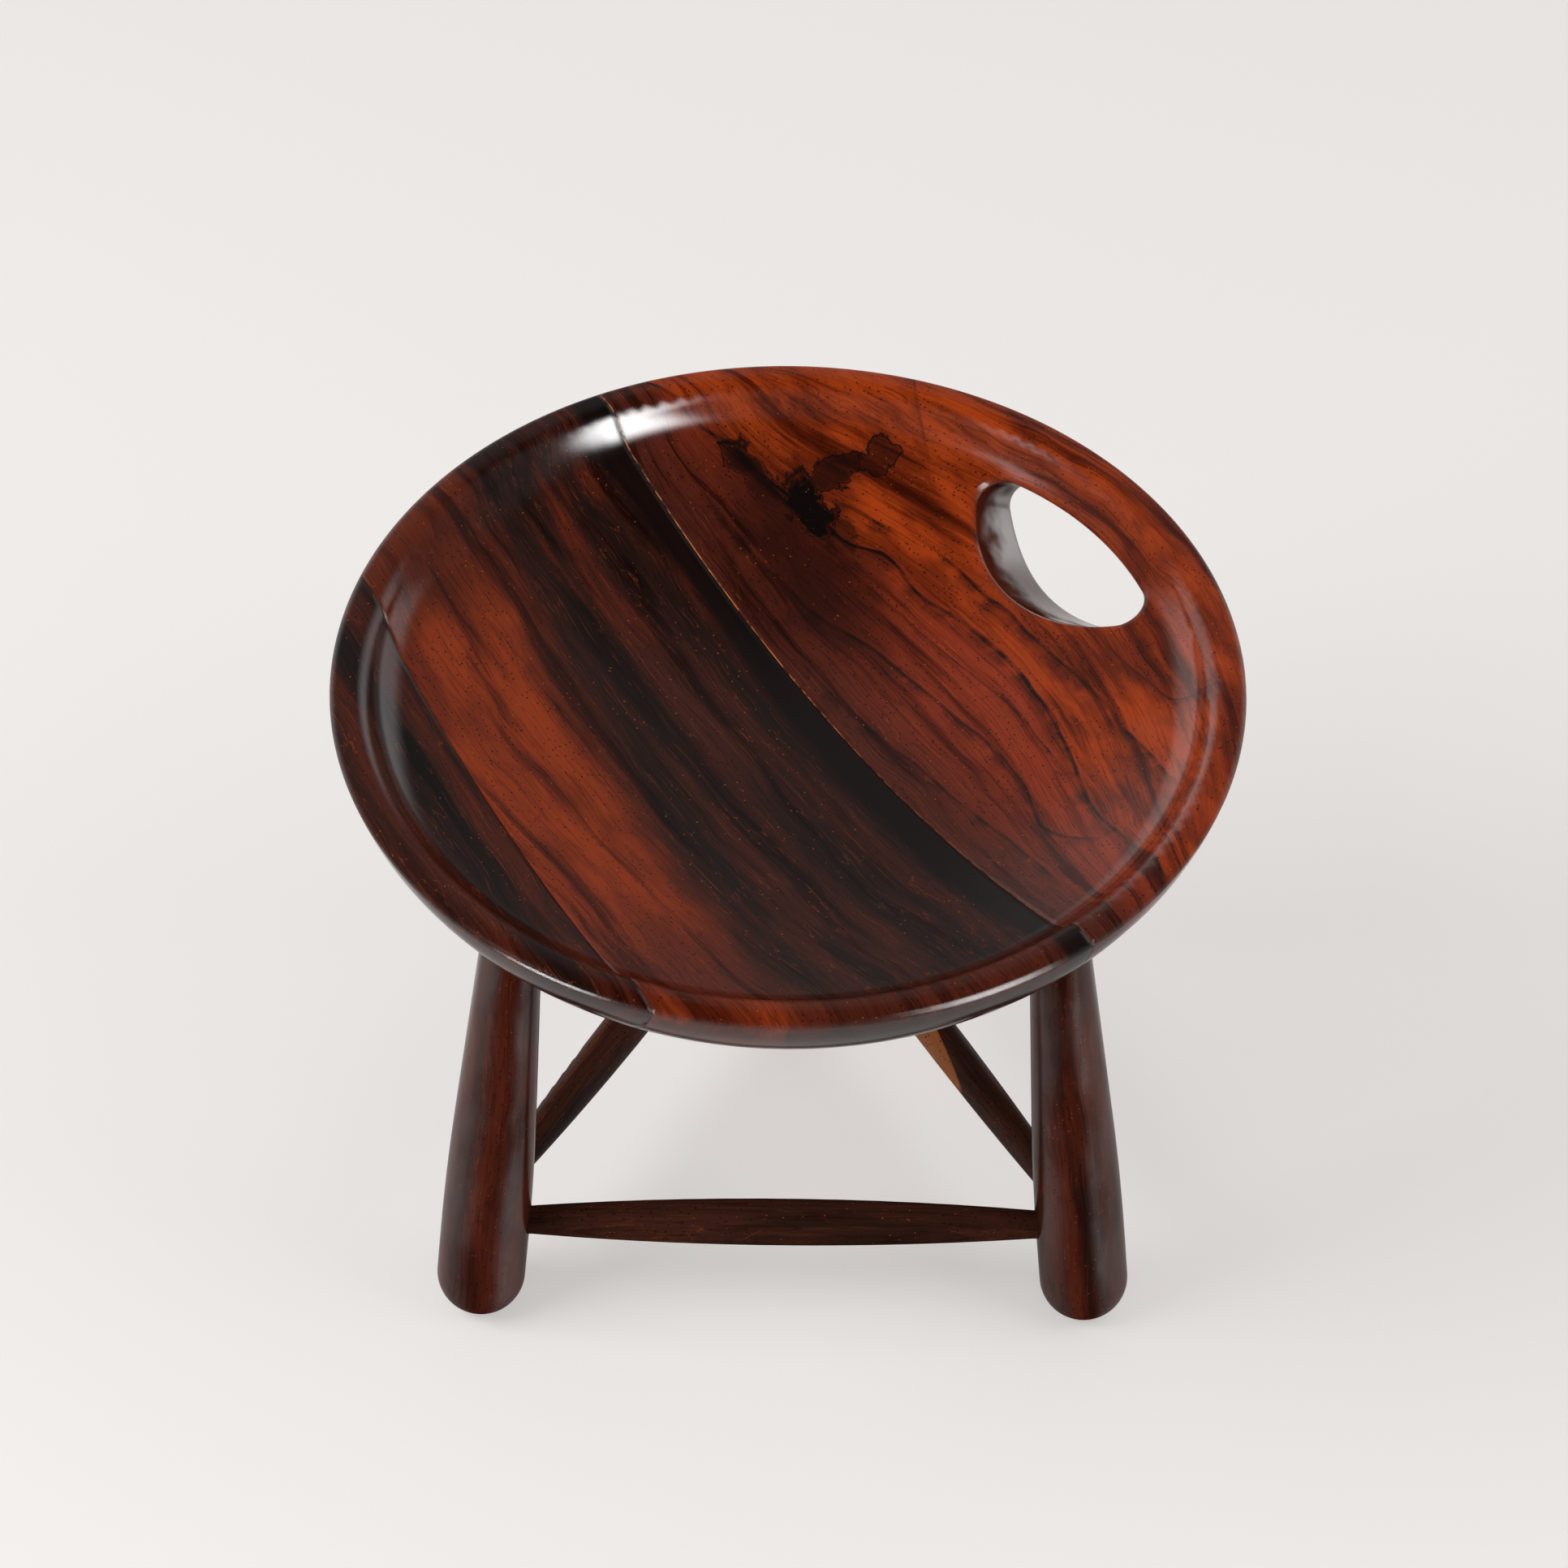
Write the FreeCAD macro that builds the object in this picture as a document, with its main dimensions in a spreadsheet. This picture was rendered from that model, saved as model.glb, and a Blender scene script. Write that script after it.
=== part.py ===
"""A low three-legged stool: a dished seat turned from three glued boards, with a hand slot,
on three club-shaped legs that a triangle of tapered stretchers ties together.

The origin is on the floor, on the axis of the seat. +Z is up. The hidden back leg is at +Y.
"""
import FreeCAD, Part
import math
import os
import Sketcher
from FreeCAD import Placement, Rotation, Vector

# Driving dimensions: name, number in millimetres or degrees, and what it measures
SIZES = [
    ("seat_diameter", 401, "seat across the outer edge of its rim"),
    ("seat_height", 330, "crest of the rim above the floor"),
    ("rim_width", 15.5, "crest of the rim to its outer edge"),
    ("rim_drop", 1.5, "outer edge of the rim below its crest"),
    ("rim_top_radius", 40, "crown of the rim's top band"),
    ("crest_round", 10, "round on the inner crest of the rim"),
    ("edge_round", 2, "round on the outer edge of the rim"),
    ("inner_wall_width", 16, "steep inner wall, measured in plan"),
    ("inner_wall_height", 16.5, "steep inner wall, from the dish to the crest"),
    ("dish_depth", 46, "crest of the rim to the bottom of the dish"),
    ("floor_thickness", 14, "wood under the middle of the dish"),
    ("underside_flat_diameter", 256, "flat middle of the seat's underside"),
    ("main_seam_offset", 24.9, "right-hand glue seam from the seat's axis"),
    ("main_seam_angle", 33.2, "direction that the right-hand seam faces"),
    ("left_seam_offset", 138.6, "left-hand glue seam from the seat's axis"),
    ("left_seam_angle", 207.8, "direction that the left-hand seam faces"),
    ("slot_angle", 39.5, "direction of the hand slot from the seat's axis"),
    ("slot_inset", 50.5, "middle of the hand slot from the outer edge"),
    ("slot_slant", 53, "lean of the hand slot away from upright"),
    ("slot_width", 39, "hand slot across, square to its slant"),
    ("slot_inner_radius", 73, "hand slot's bulging side"),
    ("slot_outer_radius", 218, "hand slot's flatter side, next to the rim"),
    ("slot_corner_radius", 9, "corners of the hand slot"),
    ("slot_edge_round", 2, "round on the hand slot's upper and lower edges"),
    ("foot_circle_diameter", 323.6, "circle through the leg axes at the floor"),
    ("leg_splay", 5.5, "lean of each leg"),
    ("leg_diameter", 40.4, "leg at its thickest"),
    ("leg_belly_height", 45, "top of the thickest stretch of the leg"),
    ("leg_curve_share", 0.35, "share of the leg's narrowing that is a curve, below its straight taper"),
    ("leg_tenon_diameter", 24, "tenon at the top of the leg"),
    ("leg_tenon_length", 22, "tenon at the top of the leg"),
    ("foot_flat_depth", 1, "wood taken off the round foot to stand level"),
    ("stretcher_front_height", 54, "axis of the front stretcher above the floor"),
    ("stretcher_right_height", 59.5, "axis of the right stretcher above the floor"),
    ("stretcher_left_height", 68.5, "axis of the left stretcher above the floor"),
    ("stretcher_front_diameter", 21.4, "front stretcher at its middle"),
    ("stretcher_right_diameter", 18.2, "right stretcher at its middle"),
    ("stretcher_left_diameter", 19.8, "left stretcher at its middle"),
    ("stretcher_tenon_diameter", 13, "round end of the stretcher"),
    ("stretcher_tenon_depth", 9.8, "round end inside the leg"),
    ("stretcher_neck", 1, "straight round end that shows beside the leg"),
    ("joint_clearance", 0.1, "glue gap round and beyond a tenon"),
    ("cut_overrun", 20, "how far each cutting shape runs past the wood"),
]

# The legs stand evenly round the seat, counted from the right one, in degrees from +X
LEG_NAMES = ("leg_right", "leg_back", "leg_left")
LEG_STEP = 360 / len(LEG_NAMES)
FIRST_LEG_ANGLE = -30
LEG_ANGLES = {name: FIRST_LEG_ANGLE + LEG_STEP * number for number, name in enumerate(LEG_NAMES)}

# Each stretcher joins two legs at a height of its own, so that the tenons miss each other
STRETCHERS = {
    "stretcher_front": ("leg_left", "leg_right"),
    "stretcher_right": ("leg_right", "leg_back"),
    "stretcher_left": ("leg_back", "leg_left"),
}

# Ends of a sketch curve, and the sketch's own origin and axes
START, END, CENTRE = range(1, 4)
ACROSS_AXIS, UP_AXIS = range(-1, -3, -1)
ORIGIN = (ACROSS_AXIS, START)

UP = Vector(0, 0, 1)
SAME_PLACE = 0.01

# First guess at the bow of the seat's inner wall, which its tangent to the dish then fixes
WALL_BOW_SHARE = 0.125

doc = FreeCAD.newDocument("stool")
sheet = doc.addObject("Spreadsheet::Sheet", "sizes")
for row, (alias, number, note) in enumerate(SIZES, start=1):
    sheet.set(f"A{row}", alias)
    sheet.set(f"B{row}", str(number))
    sheet.set(f"C{row}", note)
    sheet.setAlias(f"B{row}", alias)
doc.recompute()


def size(alias):
    """One driving dimension, read from the sheet."""
    return float(sheet.get(alias))


def outward(angle):
    """Level unit vector in a direction given in degrees from +X."""
    return Vector(math.cos(math.radians(angle)), math.sin(math.radians(angle)), 0)


# Sketch helpers
def new_sketch(body, name, role):
    """An empty sketch on one of the body's own origin planes."""
    sketch = body.newObject("Sketcher::SketchObject", name)
    plane = next(feature for feature in body.Origin.OriginFeatures if feature.Role == role)
    sketch.AttachmentSupport = [(plane, "")]
    sketch.MapMode = "FlatFace"
    return sketch


def tie(sketch, kind, *references):
    """A constraint without a size."""
    sketch.addConstraint(Sketcher.Constraint(kind, *references))


def set_radius(sketch, curve, expression):
    """Tie the radius of an arc to the sheet."""
    radius = sketch.Geometry[curve].Radius
    row = sketch.addConstraint(Sketcher.Constraint("Radius", curve, radius))
    sketch.setExpression(f"Constraints[{row}]", expression)


def set_distance(sketch, kind, first, second, expression):
    """Tie the distance along one sketch axis, from the first point to the second, to the sheet."""
    span = sketch.getPoint(*second) - sketch.getPoint(*first)
    gap = span.x if kind == "DistanceX" else span.y
    row = sketch.addConstraint(Sketcher.Constraint(kind, *first, *second, gap))
    sketch.setExpression(f"Constraints[{row}]", expression)


def arc_about(centre, radius, first_angle, last_angle):
    """Counter-clockwise arc, with its angles in degrees."""
    circle = Part.Circle(centre, UP, radius)
    return Part.ArcOfCircle(circle, math.radians(first_angle), math.radians(last_angle))


def revolve(body, sketch):
    """Turn a half outline round the upright axis of its sketch."""
    turning = body.newObject("PartDesign::Revolution", f"{body.Name}_turning")
    turning.Profile = sketch
    turning.ReferenceAxis = (sketch, ["V_Axis"])
    doc.recompute()
    return turning


def ring_edge(shape, place):
    """Name of the circular edge that passes through a point of the half outline."""
    for number, edge in enumerate(shape.Edges, start=1):
        if edge.Degenerated or not isinstance(edge.Curve, Part.Circle):
            continue
        wider = abs(edge.Curve.Radius - place.x)
        higher = abs(edge.Curve.Center.z - place.y)
        if max(wider, higher) < SAME_PLACE:
            return f"Edge{number}"
    raise ValueError(f"no ring edge at {place}")


def round_ring(body, base, place, alias):
    """Round one circular edge of a turning."""
    fillet = body.newObject("PartDesign::Fillet", f"{body.Name}_{alias}")
    fillet.Base = (base, [ring_edge(base.Shape, place)])
    fillet.setExpression("Radius", f"sizes.{alias}")
    doc.recompute()
    return fillet


# Seat: the turned blank, before it is cut
def dish_fall(radius):
    """Depth of the dish below the rim's crest, at a distance from the seat's axis."""
    edge_radius = size("seat_diameter") / 2 - size("rim_width") - size("inner_wall_width")
    sag = size("dish_depth") - size("inner_wall_height")
    ball_radius = (edge_radius ** 2 + sag ** 2) / (2 * sag)
    return size("dish_depth") - ball_radius + math.sqrt(ball_radius ** 2 - radius ** 2)


def seat_outline(body):
    """Half section of the seat, with the rim's crest at height zero."""
    sketch = new_sketch(body, "seat_half_section", "XZ_Plane")
    widest = size("seat_diameter") / 2
    crest = Vector(widest - size("rim_width"), 0, 0)
    wall_foot = Vector(crest.x - size("inner_wall_width"), -size("inner_wall_height"), 0)
    dish_low = Vector(0, -size("dish_depth"), 0)
    dish_half = Vector(wall_foot.x / 2, -dish_fall(wall_foot.x / 2), 0)
    bottom = size("dish_depth") + size("floor_thickness")

    # The side is one arc, level where it meets the flat underside
    edge = Vector(widest, -size("rim_drop"), 0)
    flat_start = Vector(size("underside_flat_diameter") / 2, -bottom, 0)
    flat_end = Vector(0, -bottom, 0)
    across = edge.x - flat_start.x
    climb = edge.y - flat_start.y
    side_radius = (across ** 2 + climb ** 2) / (2 * climb)
    side_centre = flat_start + Vector(0, side_radius, 0)
    edge_angle = math.degrees(math.atan2(edge.y - side_centre.y, across))
    wall_bow = Vector(crest.y - wall_foot.y, wall_foot.x - crest.x, 0) * WALL_BOW_SHARE
    rim_bow = Vector(0, size("rim_drop") / 2, 0)

    dish, wall, rim, side, flat, axis = range(6)
    sketch.addGeometry(Part.ArcOfCircle(dish_low, dish_half, wall_foot))
    sketch.addGeometry(Part.ArcOfCircle(wall_foot, (wall_foot + crest) / 2 + wall_bow, crest))
    sketch.addGeometry(Part.ArcOfCircle(edge, (edge + crest) / 2 + rim_bow, crest))
    sketch.addGeometry(arc_about(side_centre, side_radius, -90, edge_angle))
    sketch.addGeometry(Part.LineSegment(flat_start, flat_end))
    sketch.addGeometry(Part.LineSegment(flat_end, dish_low))

    tie(sketch, "Tangent", dish, END, wall, START)
    tie(sketch, "Coincident", wall, END, rim, END)
    tie(sketch, "Coincident", rim, START, side, END)
    tie(sketch, "Tangent", side, START, flat, START)
    tie(sketch, "Coincident", flat, END, axis, START)
    tie(sketch, "Coincident", axis, END, dish, START)
    tie(sketch, "PointOnObject", dish, CENTRE, UP_AXIS)
    tie(sketch, "PointOnObject", dish, START, UP_AXIS)
    tie(sketch, "PointOnObject", flat, END, UP_AXIS)
    tie(sketch, "PointOnObject", wall, END, ACROSS_AXIS)
    tie(sketch, "Horizontal", flat)

    half = "sizes.seat_diameter / 2"
    set_distance(sketch, "DistanceY", (dish, START), ORIGIN, "sizes.dish_depth")
    set_distance(sketch, "DistanceY", (dish, END), ORIGIN, "sizes.inner_wall_height")
    set_distance(sketch, "DistanceX", (dish, END), (wall, END), "sizes.inner_wall_width")
    set_distance(sketch, "DistanceX", ORIGIN, (wall, END), f"{half} - sizes.rim_width")
    set_radius(sketch, rim, "sizes.rim_top_radius")
    set_distance(sketch, "DistanceY", (rim, START), ORIGIN, "sizes.rim_drop")
    set_distance(sketch, "DistanceX", ORIGIN, (rim, START), half)
    set_distance(sketch, "DistanceX", ORIGIN, (flat, START), "sizes.underside_flat_diameter / 2")
    set_distance(sketch, "DistanceY", (flat, END), ORIGIN, "sizes.dish_depth + sizes.floor_thickness")
    doc.recompute()
    return sketch, sketch.getPoint(wall, END), sketch.getPoint(side, END)


def turn_seat():
    """The seat as it leaves the lathe."""
    body = doc.addObject("PartDesign::Body", "seat_blank")
    sketch, crest, edge = seat_outline(body)
    turning = revolve(body, sketch)
    rounded = round_ring(body, turning, crest, "crest_round")
    round_ring(body, rounded, edge, "edge_round")
    body.setExpression("Placement.Base.z", "sizes.seat_height")
    doc.recompute()
    return body


# Seat: the hand slot, a slanting half-moon prism
def slot_outline(body):
    """Half-moon outline, with the rim's side upwards."""
    sketch = new_sketch(body, "slot_section", "XY_Plane")
    inner_radius = size("slot_inner_radius")
    outer_radius = size("slot_outer_radius")
    corner = size("slot_corner_radius")
    inner_centre = Vector(0, inner_radius - size("slot_width") / 2, 0)
    outer_centre = Vector(0, size("slot_width") / 2 - outer_radius, 0)

    # A corner's centre is one corner radius inside both of the larger arcs
    span = inner_centre.y - outer_centre.y
    reach = outer_radius - corner
    drop = inner_radius - corner
    rise = (reach ** 2 - drop ** 2 + span ** 2) / (2 * span)
    corner_centre = Vector(math.sqrt(reach ** 2 - rise ** 2), outer_centre.y + rise, 0)
    mirrored = Vector(-corner_centre.x, corner_centre.y, 0)
    to_inner = math.degrees(math.atan2(corner_centre.y - inner_centre.y, corner_centre.x))
    to_outer = math.degrees(math.atan2(rise, corner_centre.x))

    inner, right, outer, left = range(4)
    sketch.addGeometry(arc_about(inner_centre, inner_radius, -180 - to_inner, to_inner))
    sketch.addGeometry(arc_about(corner_centre, corner, to_inner, to_outer))
    sketch.addGeometry(arc_about(outer_centre, outer_radius, to_outer, 180 - to_outer))
    sketch.addGeometry(arc_about(mirrored, corner, 180 - to_outer, 180 - to_inner))
    tie(sketch, "Tangent", inner, END, right, START)
    tie(sketch, "Tangent", right, END, outer, START)
    tie(sketch, "Tangent", outer, END, left, START)
    tie(sketch, "Tangent", left, END, inner, START)
    tie(sketch, "Equal", right, left)
    tie(sketch, "PointOnObject", inner, CENTRE, UP_AXIS)
    tie(sketch, "PointOnObject", outer, CENTRE, UP_AXIS)
    set_radius(sketch, inner, "sizes.slot_inner_radius")
    set_radius(sketch, outer, "sizes.slot_outer_radius")
    set_radius(sketch, right, "sizes.slot_corner_radius")
    above = "sizes.slot_inner_radius - sizes.slot_width / 2"
    below = "sizes.slot_outer_radius - sizes.slot_width / 2"
    set_distance(sketch, "DistanceY", ORIGIN, (inner, CENTRE), above)
    set_distance(sketch, "DistanceY", (outer, CENTRE), ORIGIN, below)
    doc.recompute()
    return sketch


def slot_cutter():
    """The prism that the hand slot removes, leaning outwards as it goes down."""
    body = doc.addObject("PartDesign::Body", "slot_cutter")
    pad = body.newObject("PartDesign::Pad", "slot_prism")
    pad.Profile = slot_outline(body)
    pad.SideType = "Symmetric"
    pad.setExpression("Length", "2 * (sizes.slot_inset + sizes.dish_depth + sizes.cut_overrun)")
    angle = size("slot_angle")
    slant = math.radians(size("slot_slant"))
    centre_radius = size("seat_diameter") / 2 - size("slot_inset")
    along = outward(angle + 90)
    across = outward(angle) * math.cos(slant) + UP * math.sin(slant)
    through = along.cross(across)
    centre = outward(angle) * centre_radius + UP * (size("seat_height") - dish_fall(centre_radius))
    body.Placement = Placement(centre, Rotation(along, across, through, "ZXY"))
    doc.recompute()
    return body


def round_slot(seat, cutter):
    """Round the curved edges where the hand slot meets the seat's top and underside."""
    wall = cutter.Shape.Shells[0]
    radius = size("slot_edge_round")
    lips = []
    for number, edge in enumerate(seat.Shape.Edges, start=1):
        if edge.Degenerated or isinstance(edge.Curve, Part.Line):
            continue
        middle = edge.valueAt((edge.FirstParameter + edge.LastParameter) / 2)
        if wall.distToShape(Part.Vertex(middle))[0] < SAME_PLACE:
            lips.append((number, radius, radius))
    rounded = doc.addObject("Part::Fillet", "seat_rounded")
    rounded.Base = seat
    rounded.Edges = lips
    doc.recompute()
    return rounded


# Legs
def leg_axis_point(angle, height):
    """Point on a leg's axis, at a height above the floor."""
    reach = size("foot_circle_diameter") / 2 - height * math.tan(math.radians(size("leg_splay")))
    return outward(angle) * reach + UP * height


def leg_placement(angle):
    """Stand a leg on its axis, with its round foot sunk by the flat that is cut off it."""
    splay = math.radians(size("leg_splay"))
    lean = UP * math.cos(splay) - outward(angle) * math.sin(splay)
    foot_radius = size("leg_diameter") / 2
    foot_centre = leg_axis_point(angle, foot_radius - size("foot_flat_depth"))
    return Placement(foot_centre - lean * foot_radius, Rotation(UP, lean))


# Distance along the leg from the tip of its round foot to the seat's flat underside
LEG_NECK = (
    "sizes.leg_diameter / 2 + (sizes.seat_height - sizes.dish_depth - sizes.floor_thickness"
    " - sizes.leg_diameter / 2 + sizes.foot_flat_depth) / cos(sizes.leg_splay)"
)


def leg_outline(body):
    """Half section of a leg, from the tip of its foot to the end of its tenon."""
    sketch = new_sketch(body, f"{body.Name}_half_section", "XZ_Plane")
    foot_radius = size("leg_diameter") / 2
    tenon_radius = size("leg_tenon_diameter") / 2
    neck_height = size("seat_height") - size("dish_depth") - size("floor_thickness")
    top_height = neck_height + size("leg_tenon_length")
    belly_top = Vector(foot_radius, size("leg_belly_height"), 0)
    narrowing = neck_height - belly_top.y
    curve_rise = narrowing * size("leg_curve_share")
    taper = math.atan2(foot_radius - tenon_radius, narrowing - curve_rise / 2)
    curve_radius = curve_rise / math.sin(taper)
    curve_centre = belly_top - Vector(curve_radius, 0, 0)
    curve_end = curve_centre + Vector(math.cos(taper), math.sin(taper), 0) * curve_radius
    foot_side = Vector(foot_radius, foot_radius, 0)
    neck = Vector(tenon_radius, neck_height, 0)
    tenon_edge = Vector(tenon_radius, top_height, 0)
    tenon_top = Vector(0, top_height, 0)
    tip = Vector(0, 0, 0)

    foot, belly, curve, cone, tenon, top, axis = range(7)
    sketch.addGeometry(arc_about(Vector(0, foot_radius, 0), foot_radius, -90, 0))
    sketch.addGeometry(Part.LineSegment(foot_side, belly_top))
    sketch.addGeometry(arc_about(curve_centre, curve_radius, 0, math.degrees(taper)))
    sketch.addGeometry(Part.LineSegment(curve_end, neck))
    sketch.addGeometry(Part.LineSegment(neck, tenon_edge))
    sketch.addGeometry(Part.LineSegment(tenon_edge, tenon_top))
    sketch.addGeometry(Part.LineSegment(tenon_top, tip))

    tie(sketch, "Tangent", foot, END, belly, START)
    tie(sketch, "Tangent", belly, END, curve, START)
    tie(sketch, "Tangent", curve, END, cone, START)
    tie(sketch, "Coincident", cone, END, tenon, START)
    tie(sketch, "Coincident", tenon, END, top, START)
    tie(sketch, "Coincident", top, END, axis, START)
    tie(sketch, "Coincident", axis, END, foot, START)
    tie(sketch, "Coincident", foot, START, *ORIGIN)
    tie(sketch, "PointOnObject", foot, CENTRE, UP_AXIS)
    tie(sketch, "PointOnObject", top, END, UP_AXIS)
    tie(sketch, "Vertical", belly)
    tie(sketch, "Vertical", tenon)
    tie(sketch, "Horizontal", top)
    set_radius(sketch, foot, "sizes.leg_diameter / 2")
    curved = f"({LEG_NECK} - sizes.leg_belly_height) * sizes.leg_curve_share"
    set_distance(sketch, "DistanceY", (belly, END), (curve, END), curved)
    set_distance(sketch, "DistanceY", ORIGIN, (belly, END), "sizes.leg_belly_height")
    set_distance(sketch, "DistanceX", ORIGIN, (tenon, START), "sizes.leg_tenon_diameter / 2")
    set_distance(sketch, "DistanceY", ORIGIN, (tenon, START), LEG_NECK)
    set_distance(sketch, "DistanceY", (tenon, START), (tenon, END), "sizes.leg_tenon_length")
    doc.recompute()
    return sketch


def turn_leg(name, angle):
    """A leg as it leaves the lathe, stood in its place."""
    body = doc.addObject("PartDesign::Body", f"{name}_blank")
    revolve(body, leg_outline(body))
    body.Placement = leg_placement(angle)
    return body


def leg_socket(name, angle):
    """The blind hole in the seat for a leg's tenon."""
    socket = doc.addObject("Part::Cylinder", f"{name}_socket")
    socket.setExpression("Radius", "sizes.leg_tenon_diameter / 2 + sizes.joint_clearance")
    socket.setExpression("Height", f"{LEG_NECK} + sizes.leg_tenon_length + sizes.joint_clearance")
    socket.Placement = leg_placement(angle)
    return socket


# Stretchers
def axis_gap(name):
    """Half the distance between two leg axes at a stretcher's height, for the sheet."""
    reach = f"(sizes.foot_circle_diameter / 2 - sizes.{name}_height * tan(sizes.leg_splay))"
    return f"sin({LEG_STEP / 2}) * {reach}"


def stretcher_ends(name):
    """Points on the axes of the two legs that a stretcher joins."""
    height = size(f"{name}_height")
    return {leg: leg_axis_point(LEG_ANGLES[leg], height) for leg in STRETCHERS[name]}


# Distances of a tenon's end, and of the end of its straight neck, from the leg's axis
TENON_END = "sizes.leg_diameter / 2 - sizes.stretcher_tenon_depth"
NECK_END = "sizes.leg_diameter / 2 + sizes.stretcher_neck"


def stretcher_outline(body, name):
    """Half section of a stretcher along its own axis, with its middle at zero."""
    sketch = new_sketch(body, f"{name}_half_section", "XZ_Plane")
    leg_radius = size("leg_diameter") / 2
    start, end = stretcher_ends(name).values()
    half_axis = start.distanceToPoint(end) / 2
    half_length = half_axis - leg_radius + size("stretcher_tenon_depth")
    half_swell = half_axis - leg_radius - size("stretcher_neck")
    end_radius = size("stretcher_tenon_diameter") / 2
    widest = Vector(size(f"{name}_diameter") / 2, 0, 0)
    corners = [
        Vector(0, -half_length, 0),
        Vector(end_radius, -half_length, 0),
        Vector(end_radius, -half_swell, 0),
        Vector(end_radius, half_swell, 0),
        Vector(end_radius, half_length, 0),
        Vector(0, half_length, 0),
    ]

    low_end, low_neck, swell, high_neck, high_end, axis = range(6)
    sketch.addGeometry(Part.LineSegment(corners[0], corners[1]))
    sketch.addGeometry(Part.LineSegment(corners[1], corners[2]))
    sketch.addGeometry(Part.ArcOfCircle(corners[2], widest, corners[3]))
    sketch.addGeometry(Part.LineSegment(corners[3], corners[4]))
    sketch.addGeometry(Part.LineSegment(corners[4], corners[5]))
    sketch.addGeometry(Part.LineSegment(corners[5], corners[0]))

    for line, following in [(low_end, low_neck), (low_neck, swell), (swell, high_neck),
                            (high_neck, high_end), (high_end, axis), (axis, low_end)]:
        tie(sketch, "Coincident", line, END, following, START)
    tie(sketch, "Horizontal", low_end)
    tie(sketch, "Vertical", low_neck)
    tie(sketch, "Vertical", high_neck)
    tie(sketch, "PointOnObject", low_end, START, UP_AXIS)
    tie(sketch, "PointOnObject", high_end, END, UP_AXIS)
    tie(sketch, "Symmetric", low_end, END, high_end, START, ACROSS_AXIS)
    tie(sketch, "Symmetric", swell, START, swell, END, ACROSS_AXIS)
    tie(sketch, "Horizontal", high_end)
    gap = axis_gap(name)
    bulge = f"(sizes.{name}_diameter - sizes.stretcher_tenon_diameter) / 2"
    chord = f"({gap} - ({NECK_END}))"
    set_distance(sketch, "DistanceX", ORIGIN, (low_end, END), "sizes.stretcher_tenon_diameter / 2")
    set_distance(sketch, "DistanceY", (low_end, END), ORIGIN, f"{gap} - ({TENON_END})")
    set_distance(sketch, "DistanceY", (swell, START), ORIGIN, f"{gap} - ({NECK_END})")
    set_radius(sketch, swell, f"({chord}^2 + ({bulge})^2) / (2 * ({bulge}))")
    doc.recompute()
    return sketch


def turn_stretcher(name):
    """A stretcher, laid level between its two legs."""
    body = doc.addObject("PartDesign::Body", name)
    revolve(body, stretcher_outline(body, name))
    start, end = stretcher_ends(name).values()
    body.Placement = Placement((start + end) / 2, Rotation(UP, end - start))
    return body


def stretcher_socket(leg, name):
    """The blind hole in a leg for one end of a stretcher."""
    ends = stretcher_ends(name)
    near = ends.pop(leg)
    far = ends.popitem()[1]
    towards = (far - near).normalize()
    end_distance = size("leg_diameter") / 2 - size("stretcher_tenon_depth") - size("joint_clearance")
    socket = doc.addObject("Part::Cylinder", f"{leg}_{name}_socket")
    socket.setExpression("Radius", "sizes.stretcher_tenon_diameter / 2 + sizes.joint_clearance")
    socket.setExpression("Height", "sizes.stretcher_tenon_depth + sizes.cut_overrun")
    socket.Placement = Placement(near + towards * end_distance, Rotation(UP, towards))
    return socket


# Cutting shapes that are plain blocks
def floor_block():
    """Everything under the floor, which flattens the round feet."""
    block = doc.addObject("Part::Box", "under_floor")
    for side in ("Length", "Width"):
        block.setExpression(side, "2 * sizes.foot_circle_diameter")
    block.setExpression("Height", "sizes.foot_flat_depth + sizes.cut_overrun")
    reach = size("foot_circle_diameter")
    depth = size("foot_flat_depth") + size("cut_overrun")
    block.Placement = Placement(Vector(-reach, -reach, -depth), Rotation())
    return block


def seam_block(name):
    """Everything on the outer side of one glue seam."""
    block = doc.addObject("Part::Box", f"beyond_{name}")
    block.setExpression("Length", "sizes.seat_diameter")
    block.setExpression("Width", "2 * sizes.seat_diameter")
    block.setExpression("Height", "sizes.seat_height + sizes.cut_overrun")
    turn = Rotation(UP, size(f"{name}_angle"))
    corner = turn.multVec(Vector(size(f"{name}_offset"), -size("seat_diameter"), 0))
    block.Placement = Placement(corner, turn)
    return block


def combine(kind, name, base, tool):
    """One boolean step between two objects of the document."""
    step = doc.addObject(kind, name)
    step.Base = base
    step.Tool = tool
    doc.recompute()
    return step


def cut_all(name, base, tools):
    """Take several shapes away from one blank."""
    joined = doc.addObject("Part::MultiFuse", f"{name}_cuts")
    joined.Shapes = tools
    doc.recompute()
    return combine("Part::Cut", name, base, joined)


# Assembly
slot = slot_cutter()
slotted = round_slot(combine("Part::Cut", "seat_slotted", turn_seat(), slot), slot)
sockets = [leg_socket(leg_name, leg_angle) for leg_name, leg_angle in LEG_ANGLES.items()]
seat = cut_all("seat", slotted, sockets)
main_block = seam_block("main_seam")
left_block = seam_block("left_seam")
inner_boards = combine("Part::Cut", "seat_inner_boards", seat, main_block)
pieces = [
    combine("Part::Common", "seat_board_right", seat, main_block),
    combine("Part::Cut", "seat_board_middle", inner_boards, left_block),
    combine("Part::Common", "seat_board_left", seat, left_block),
]

below = floor_block()
for leg_name, leg_angle in LEG_ANGLES.items():
    leg_cuts = [below]
    for stretcher_name, joined_legs in STRETCHERS.items():
        if leg_name in joined_legs:
            leg_cuts.append(stretcher_socket(leg_name, stretcher_name))
    pieces.append(cut_all(leg_name, turn_leg(leg_name, leg_angle), leg_cuts))

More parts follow.
